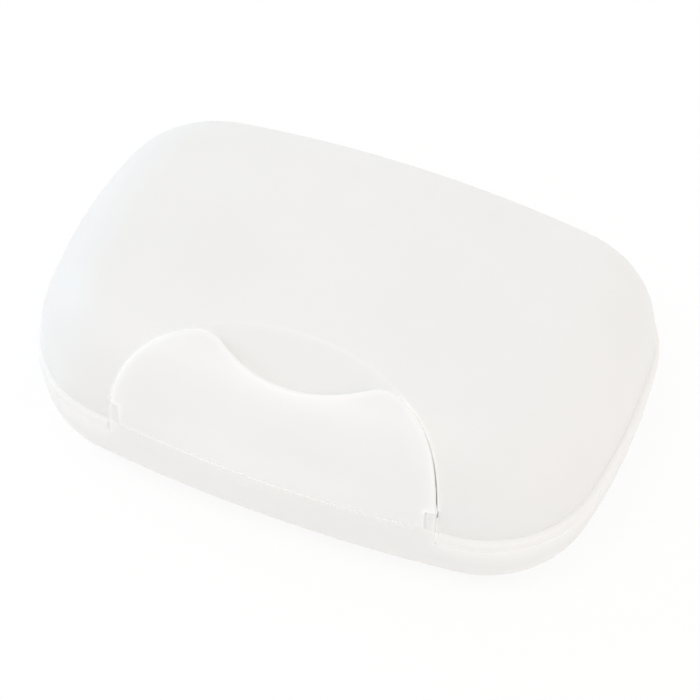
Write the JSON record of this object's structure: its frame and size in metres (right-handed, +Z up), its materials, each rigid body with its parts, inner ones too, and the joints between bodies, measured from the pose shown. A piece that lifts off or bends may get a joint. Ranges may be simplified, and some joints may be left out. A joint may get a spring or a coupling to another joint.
{
  "type": "travel soap box",
  "caption": "Hinged travel soap box of frosted plastic: rounded tray, domed lid with finger scoop, two-lobed front latch flap and a slotted drain rack inside.",
  "frame": {"origin": "middle of the flat underside of the tray, on the table", "axes": "+X along the length of the box, towards its right end seen from the front; -Y towards the front with the latch flap; +Y towards the rear hinge; +Z up"},
  "size_m": [0.11, 0.0774, 0.0376],
  "materials": {
    "frosted_shell": "frosted translucent polypropylene with a soft sheen",
    "frosted_flap": "frosted translucent polypropylene with a soft sheen",
    "rack_plastic": "frosted translucent polypropylene",
    "pin_steel": "drawn stainless wire"
  },
  "bodies": {
    "base": {"base_tray": "frosted_shell", "hinge_pin": "pin_steel", "latch_pin": "pin_steel"},
    "lid": {"lid": "frosted_shell"},
    "latch": {"latch_flap": "frosted_flap"},
    "rack": {"drain_rack": "rack_plastic"}
  },
  "joints": [
    {"name": "lid_hinge", "type": "hinge", "parent": "base", "child": "lid", "pos_m": [0, 0.0384, 0.0148], "axis": [-1, 0, 0], "range_deg": [0, 110]},
    {"name": "latch_hinge", "type": "hinge", "parent": "base", "child": "latch", "pos_m": [0, -0.0332, 0.0209], "axis": [1, 0, 0], "range_deg": [0, 85]},
    {"name": "rack_lift", "type": "slide", "parent": "base", "child": "rack", "axis": [0, 0, 1], "range_m": [0, 0.012]}
  ]
}
